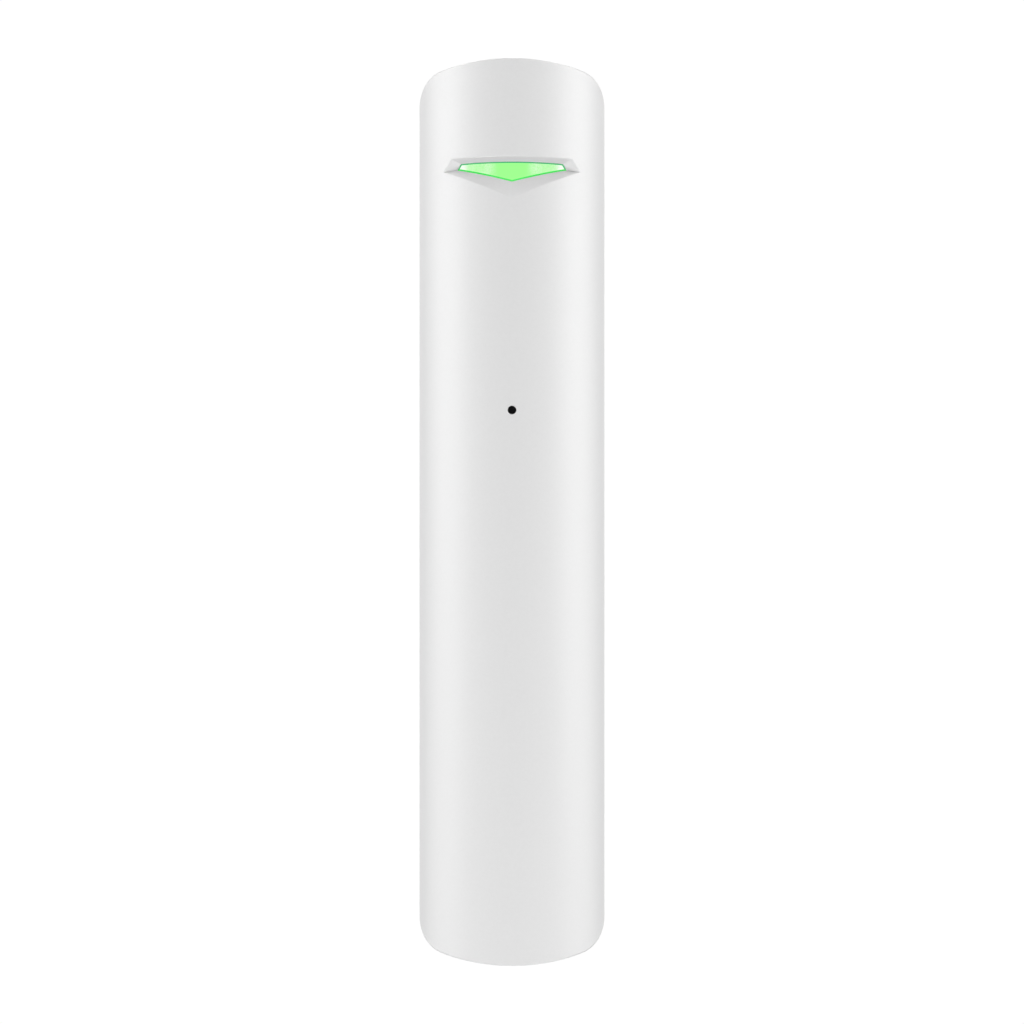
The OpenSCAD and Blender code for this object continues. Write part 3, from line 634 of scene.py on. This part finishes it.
def ramp(t, value, low, high, a=0.3, b=0.7, **settings):
    """Low up to the value a, high from the value b on. The defaults are a noise's range."""
    limits = {"From Min": a, "From Max": b, "To Min": low, "To Max": high}
    return add(t, "ShaderNodeMapRange", Value=value, **limits, **settings).outputs["Result"]


def smooth_range(t, value, a, b, low=0.0, high=1.0):
    return ramp(t, value, low, high, a, b, interpolation_type="SMOOTHSTEP")


def mix_colour(t, share, first, second):
    """From the first colour, which may be another node's, to the second."""
    n = add(t, "ShaderNodeMix", data_type="RGBA")
    for i, value in ((0, share), (6, first), (7, second)):
        feed(t, n.inputs[i], value)
    return n.outputs[2]


def bump(t, shader, height, strength, distance, normal=None):
    """Puts a bump on the shader, over the bump that an earlier node gives."""
    n = add(t, "ShaderNodeBump", Strength=strength, Distance=distance, Height=height)
    if normal:
        feed(t, n.inputs["Normal"], normal)
    shade_with(t, shader, Normal=n.outputs["Normal"])
    return n.outputs["Normal"]


def soft_edge(t, radius):
    """Normal with every edge rounded over the radius, and a mask that is 1 along the edges."""
    bent = add(t, "ShaderNodeBevel", Radius=radius, samples=6).outputs[0]
    dot = add(t, "ShaderNodeVectorMath", operation="DOT_PRODUCT")
    feed(t, dot.inputs[0], bent)
    feed(t, dot.inputs[1], add(t, "ShaderNodeNewGeometry").outputs["Normal"])
    return bent, ramp(t, dot.outputs["Value"], 1, 0, 0.82, 0.99)


def beyond(t, middle, half):
    """1 where x or z lies outside a block, given by its middle and half size in metres."""
    xyz = place_xyz(t)
    over = [
        minus(t, maths(t, "ABSOLUTE", minus(t, xyz[k], c)), h)
        for k, c, h in zip((0, 2), middle, half)
    ]
    return maths(t, "GREATER_THAN", maths(t, "MAXIMUM", *over), 2e-5)


def plastic(name, colour, rough, grain=9000, depth=6e-6, tone=0.015, edge=0.0, worn=None,
            coat=0.0, slow=0.05, body=None):
    """Moulded plastic: a fine spark-eroded grain over a slow unevenness, and varied tone.

    edge is the width of its paler and smoother edges, and worn their colour. body is the
    middle and half size of a chip's moulded block, beyond which the solid is tinned legs.
    """
    m, t, s = new_material(name)
    dark = tuple(max(c - tone, 0) for c in colour)
    shade = mix_colour(t, ramp(t, noise(t, grain * 0.4, 3), 0, 1), dark, colour)
    gloss = ramp(t, noise(t, grain * 0.25, 2), rough - 0.05, rough + 0.05)
    normal = None
    if edge:
        normal, mask = soft_edge(t, edge)
        mask = times(t, mask, ramp(t, noise(t, 900, 3), 0.25, 1))
        paler = tuple(min(c * 1.06 + 0.01, 1) for c in colour)
        shade = mix_colour(t, mask, shade, worn or paler)
        gloss = minus(t, gloss, times(t, mask, 0.12))
    if body:
        tinned = beyond(t, *body)
        shade = mix_colour(t, tinned, shade, (0.66, 0.66, 0.67))
        gloss = minus(t, gloss, times(t, tinned, 0.2))
        shade_with(t, s, Metallic=tinned)
    shade_with(t, s, Base_Color=shade, Roughness=gloss, Coat_Weight=coat, Coat_Roughness=0.12)
    wavy = bump(t, s, noise(t, 260, 2), slow, 2e-5, normal)
    bump(t, s, noise(t, grain, 3, 0.6), 0.35, depth, wavy)
    return m


def metal(name, colour, rough, stretch, tarnish, scale=3000):
    """Bare or plated metal: drawing or brushing streaks, patches of tarnish, and rubbed edges."""
    m, t, s = new_material(name)
    lines = noise(t, scale, 4, 0.65, stretch)
    patch = ramp(t, noise(t, 420, 4, 0.6), 0, 1, 0.42, 0.66)
    normal, mask = soft_edge(t, 6e-5)
    shade = mix_colour(t, ramp(t, lines, 0, 1), tuple(c * 0.86 for c in colour), colour)
    shade = mix_colour(t, times(t, patch, 0.55), shade, tarnish)
    shade = mix_colour(t, mask, shade, tuple(min(c * 1.15, 1) for c in colour))
    gloss = plus(t, ramp(t, lines, rough - 0.06, rough + 0.08), times(t, patch, 0.12))
    gloss = minus(t, gloss, times(t, mask, 0.1))
    shade_with(t, s, Metallic=1.0, Base_Color=shade, Roughness=gloss)
    bump(t, s, lines, 0.35, 3e-6, normal)
    return m


def board():
    """Circuit board: solder resist over the glass weave, with straight traces and tinned vias."""
    m, t, s = new_material("solder_resist")
    cell = add(t, "ShaderNodeTexVoronoi", Scale=420.0, Vector=place(t), distance="CHEBYCHEV")
    pick = add(t, "ShaderNodeSeparateColor", Color=cell.outputs["Color"]).outputs
    upright, level = (smooth_range(t, w, 0.62, 0.72) for w in waves(t, 190.0))
    across = maths(t, "GREATER_THAN", pick[0], 0.5)
    track = plus(t, times(t, upright, across), times(t, level, minus(t, 1.0, across)))
    track = times(t, track, maths(t, "GREATER_THAN", pick[1], 0.3))
    via = smooth_range(t, cell.outputs["Distance"], 0.085, 0.1, 1, 0)
    cloth = times(t, *waves(t, 700.0))
    shade = mix_colour(t, cloth, (0.02, 0.12, 0.05), (0.03, 0.17, 0.075))
    shade = mix_colour(t, track, shade, (0.045, 0.27, 0.1))
    shade = mix_colour(t, via, shade, (0.6, 0.58, 0.5))
    gloss = ramp(t, noise(t, 2600, 3), 0.28, 0.42)
    shade_with(t, s, Base_Color=shade, Metallic=via, Roughness=gloss)
    first = bump(t, s, cloth, 0.12, 6e-6, soft_edge(t, 5e-5)[0])
    bump(t, s, track, 0.5, 2e-5, first)
    return m


def sound_mesh():
    """Woven mesh of fine black threads."""
    m, t, s = new_material("sound_mesh")
    woven = maths(t, "MAXIMUM", *waves(t, 2100.0))
    shade = mix_colour(t, woven, (0.004, 0.004, 0.004), (0.05, 0.05, 0.052))
    gloss = ramp(t, noise(t, 6000, 2), 0.5, 0.75)
    shade_with(t, s, Base_Color=shade, Roughness=gloss, Sheen_Weight=0.2)
    bump(t, s, woven, 0.8, 2e-5)
    return m


def lit(name):
    """The clear body of the light guide, ready for its glow."""
    m, t, s = new_material(name)
    shade_with(t, s, Base_Color=(0.02, 0.1, 0.02), Roughness=0.22, Emission_Strength=1.0)
    return m, t, s


def lit_face():
    """Green in the middle, whiter in front of the diodes, and white at the ends: a painted
    reflection of the side lights in the guide's curved face.
    """
    m, t, s = lit("guide_face")
    x, _, z = place_xyz(t)
    x = maths(t, "ABSOLUTE", x)
    # end: a painted reflection, the side lights' glint painted white near the guide's ends
    end = smooth_range(t, x, 0.0043, 0.0052)
    haze = smooth_range(t, x, 0.0012, 0.0027, 0, 0.42)
    diode = times(t, smooth_range(t, x, 0.0014, 0.0023), smooth_range(t, x, 0.0023, 0.0034, 1, 0))
    mottle = ramp(t, noise(t, 6500, 3, 0.65), 0.3, 1, 0.38, 0.62)
    diode = times(t, times(t, diode, mottle), 0.25)
    height = smooth_range(t, z, (WINDOW_Z - 1.7) * MM, (WINDOW_Z - 0.8) * MM)
    white = plus(t, times(t, end, 0.95), times(t, diode, height))
    white = plus(t, white, times(t, haze, mottle), clamp=True)
    shade_with(t, s, Emission_Color=mix_colour(t, white, (0.33, 0.98, 0.26), (0.82, 0.95, 0.79)))
    return m


def lit_edge(name, colour):
    """The guide's bevelled rim, in a darker and lightly speckled green that paints the shade on the
    bevel.
    """
    m, t, s = lit(name)
    speck = ramp(t, noise(t, 5000, 2), 0.85, 1.1)
    dim = tuple(c * 0.8 for c in colour)
    shade_with(t, s, Emission_Color=mix_colour(t, speck, dim, colour))
    return m


housing_white = plastic("housing_white", (0.86, 0.86, 0.86), 0.4)
housing_white.node_tree.nodes["Principled BSDF"].inputs["IOR"].default_value = 1.7
shell = build_shell().object("shell", [housing_white])
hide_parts("front_housing")
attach(shell, "detector")

guide = build_guide().object("guide", [
    lit_face(),
    lit_edge("guide_edge_painted_shade", (0.05, 0.44, 0.165)),
    lit_edge("guide_edge_painted_light", (0.035, 0.68, 0.085)),
])
guide.visible_diffuse = False
guide.visible_glossy = False
guide.visible_shadow = False
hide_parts("light_guide")
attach(guide, "detector")

core_white = plastic("guide_core", (0.8, 0.8, 0.8), 0.5)
t = core_white.node_tree
# The core glows faintly white: painted light that stands in for the light bounced onto the recess
# walls.
glow = {"Emission_Color": (1, 1, 1), "Emission_Strength": 0.1}
shade_with(t, t.nodes["Principled BSDF"], **glow)
core = build_core().object("guide_core", [core_white])
core.visible_glossy = False
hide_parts("light_guide")
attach(core, "detector")

cover_white = plastic(
    "cover_white", (0.82, 0.82, 0.82), 0.42,
    grain=7000, depth=5e-6, tone=0.02, edge=1.5e-4, worn=(0.88, 0.88, 0.88),
)
FINISH = {
    "cover_white": cover_white,
    "board_green": board(),
    "can_metal": metal(
        "tinned_steel", (0.66, 0.66, 0.67), 0.3, (1, 1, 0.06), (0.5, 0.49, 0.47),
    ),
    "screw_steel": metal(
        "zinc_steel", (0.62, 0.62, 0.6), 0.3, (0.12, 1, 1), (0.56, 0.52, 0.4), scale=4200,
    ),
    "contact_metal": metal(
        "spring_bronze", (0.72, 0.63, 0.42), 0.24, (1, 0.1, 0.08), (0.42, 0.3, 0.18), scale=2600,
    ),
    "rubber_grey": plastic(
        "moulded_rubber", (0.09, 0.09, 0.09), 0.8,
        grain=5200, depth=1.2e-5, tone=0.02, edge=1e-4, worn=(0.13, 0.13, 0.13),
    ),
    "mesh_black": sound_mesh(),
    "switch_grey": plastic(
        "moulded_nylon", (0.12, 0.12, 0.122), 0.45,
        grain=6000, tone=0.02, edge=8e-5, worn=(0.19, 0.19, 0.19),
    ),
    "led_body": plastic(
        "diode_body", (0.85, 0.85, 0.75), 0.25,
        grain=5000, depth=3e-6, tone=0.05, edge=5e-5, coat=0.6,
    ),
    "cell_sleeve": plastic(
        "shrink_sleeve", (0.3, 0.33, 0.37), 0.3,
        grain=3000, depth=4e-6, tone=0.03, edge=2e-4, coat=0.7, slow=0.3,
    ),
    "terminal_green": plastic(
        "terminal_nylon", (0.04, 0.3, 0.13), 0.42,
        grain=6000, tone=0.02, edge=1e-4, worn=(0.09, 0.4, 0.19),
    ),
}


def chip(node):
    """A chip's epoxy and its legs, told apart by the front face of its moulded block."""
    co = cad_points(node)
    front = co[co[:, 1] < co[:, 1].min() + 1e-6]
    low, high = front[:, [0, 2]].min(axis=0), front[:, [0, 2]].max(axis=0)
    return plastic(
        node + "_finish", (0.032, 0.032, 0.034), 0.55,
        grain=8000, depth=1e-5, tone=0.012, edge=6e-5, worn=(0.08, 0.08, 0.08),
        body=(((low + high) / 2).tolist(), ((high - low) / 2).tolist()),
    )


for row in frame["record"]["subparts"]:
    is_chip = row["material_slot"] == "chip_black"
    finish = chip(row["node"]) if is_chip else FINISH.get(row["material_slot"])
    if finish:
        for slot in nodes[row["node"]].material_slots:
            slot.material = finish


def softened(node, material, width, plane):
    """A copy of a CAD node whose sharp outer edges in the plane y = plane are rounded."""
    bm = bmesh.new()
    bm.from_mesh(nodes[node].data)
    bmesh.ops.remove_doubles(bm, verts=bm.verts, dist=2e-7)
    bmesh.ops.dissolve_limit(bm, angle_limit=0.004, verts=bm.verts, edges=bm.edges)
    bmesh.ops.recalc_face_normals(bm, faces=bm.faces)
    edges = [
        e for e in bm.edges
        if len(e.link_faces) == 2 and e.is_convex and e.calc_face_angle() > 0.7
        and all(abs(v.co.y / MM - plane) < NEAR_CURVE for v in e.verts)
    ]
    bmesh.ops.bevel(
        bm, geom=edges, offset=width * MM, offset_type="OFFSET", segments=3,
        profile=0.5, affect="EDGES", clamp_overlap=False,
    )
    bmesh.ops.triangulate(bm, faces=[f for f in bm.faces if len(f.verts) > 4])
    mesh = bpy.data.meshes.new(node + "_soft")
    bm.to_mesh(mesh)
    bm.free()
    for name in ("custom_normal", "sharp_face"):
        if name in mesh.attributes:
            mesh.attributes.remove(mesh.attributes[name])
    mesh.set_sharp_from_angle(angle=0.62)
    mesh.materials.clear()
    mesh.materials.append(material)
    obj = bpy.data.objects.new(node + "_soft", mesh)
    bpy.context.scene.collection.objects.link(obj)
    weigh = obj.modifiers.new("flat_faces", "WEIGHTED_NORMAL")
    weigh.keep_sharp = True
    weigh.weight = 100
    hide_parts(node)
    return obj


for node, body, width in (
    ("mounting_bracket", "bracket", 0.15),
    ("rear_cover", "detector", 0.12),
    ("tamper_button", "tamper_plunger", 0.15),
    ("power_button", "power_plunger", 0.15),
):
    back = max(round(v.co.y / MM, 3) for v in nodes[node].data.vertices)
    soft = softened(node, cover_white, width, back)
    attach(soft, body)

# Pale floor, seen by the camera only
bpy.ops.mesh.primitive_plane_add(size=5, location=(0, 0, -0.6))
floor = bpy.context.object
floor.name = "floor"
floor_material, t, s = new_material("floor")
tone = mix_colour(t, ramp(t, noise(t, 30, 3), 0, 1), (0.66, 0.66, 0.66), (0.69, 0.69, 0.69))
shade_with(t, s, Base_Color=tone, Roughness=0.7)
floor.data.materials.append(floor_material)
floor.visible_diffuse = False
floor.visible_glossy = False
floor.visible_shadow = False

bpy.context.scene.view_settings.view_transform = "Standard"
world = bpy.data.worlds.new("world")
bpy.context.scene.world = world
world.use_nodes = True
wt = world.node_tree
wt.nodes.clear()

# Brightness of the studio in bands, each from one angle in degrees to the next. A wall is its level
# by azimuth from the camera's side, times its share by elevation. One stands beside the object, one
# is a low board in front, and one hangs above and below the sides.
TURNS = [0, 10, 20, 30, 40, 50, 60, 70, 80, 90, 105, 120, 150]
RISES = [-90, -65, -45, -28, -12, 0, 12, 28, 45, 65]
WALLS = (
    ([0, 0, 0, 0, 0.38, 1.36, 2.36, 2.9, 2.88, 2.14, 0.67, 0, 0.56],
     [0.2, 0, 0, 0, 0.48, 1, 0.34, 0.44, 0.44, 0]),
    ([2.99, 2.76, 2.76, 2.68, 1.05, 0.14, 0, 0, 0, 0, 0, 0, 0.68],
     [0, 0.12, 1, 0.67, 0.41, 0.13, 0, 0, 0.19, 0]),
    ([0, 0, 0, 0, 0, 0, 0, 1.52, 2.82, 3.62, 2.73, 1.36, 1.2],
     [0.55, 0.31, 0, 0, 0, 0, 0.52, 1.06, 0.5, 0]),
)


def bands(starts, levels, angle, low, high):
    """A stepped ramp: the level of the band that an angle from low to high falls in."""
    top = max(levels)
    n = add(wt, "ShaderNodeValToRGB", Fac=ramp(wt, angle, 0, 1, low, high))
    r = n.color_ramp
    r.interpolation = "CONSTANT"
    r.elements.remove(r.elements[1])
    r.elements[0].position = 0
    r.elements[0].color = (levels[0] / top,) * 3 + (1,)
    for start, level in zip(starts[1:], levels[1:]):
        r.elements.new((start - low) / (high - low)).color = (level / top,) * 3 + (1,)
    return times(wt, n.outputs[0], top)


def studio():
    """The light that comes from each direction."""
    x, y, z = place_xyz(wt, "Generated")
    reach = maths(wt, "SQRT", plus(wt, times(wt, x, x), times(wt, y, y)))
    reach = maths(wt, "MAXIMUM", reach, 1e-4)
    turn = maths(wt, "ARCTAN2", maths(wt, "ABSOLUTE", x), times(wt, y, -1.0))
    turn = maths(wt, "DEGREES", turn)
    rise = maths(wt, "DEGREES", maths(wt, "ARCTAN2", z, reach))
    beside, board_in_front, above = (
        times(wt, bands(TURNS, by_turn, turn, 0, 180), bands(RISES, by_rise, rise, -90, 90))
        for by_turn, by_rise in WALLS
    )
    return plus(wt, plus(wt, beside, board_in_front), above)


# The camera sees a plain backdrop in place of the studio: white behind the object, pale elsewhere
backdrop = smooth_range(wt, place_xyz(wt, "Generated")[1], 0.7, 0.93, 0.68, 1.02)
light = add(wt, "ShaderNodeBackground", Color=studio(), Strength=1.0)
seen = add(wt, "ShaderNodeBackground", Color=backdrop, Strength=1.0)
both = add(wt, "ShaderNodeMixShader")
feed(wt, both.inputs[0], add(wt, "ShaderNodeLightPath").outputs["Is Camera Ray"])
feed(wt, both.inputs[1], light.outputs[0])
feed(wt, both.inputs[2], seen.outputs[0])
add(wt, "ShaderNodeOutputWorld", Surface=both.outputs[0])
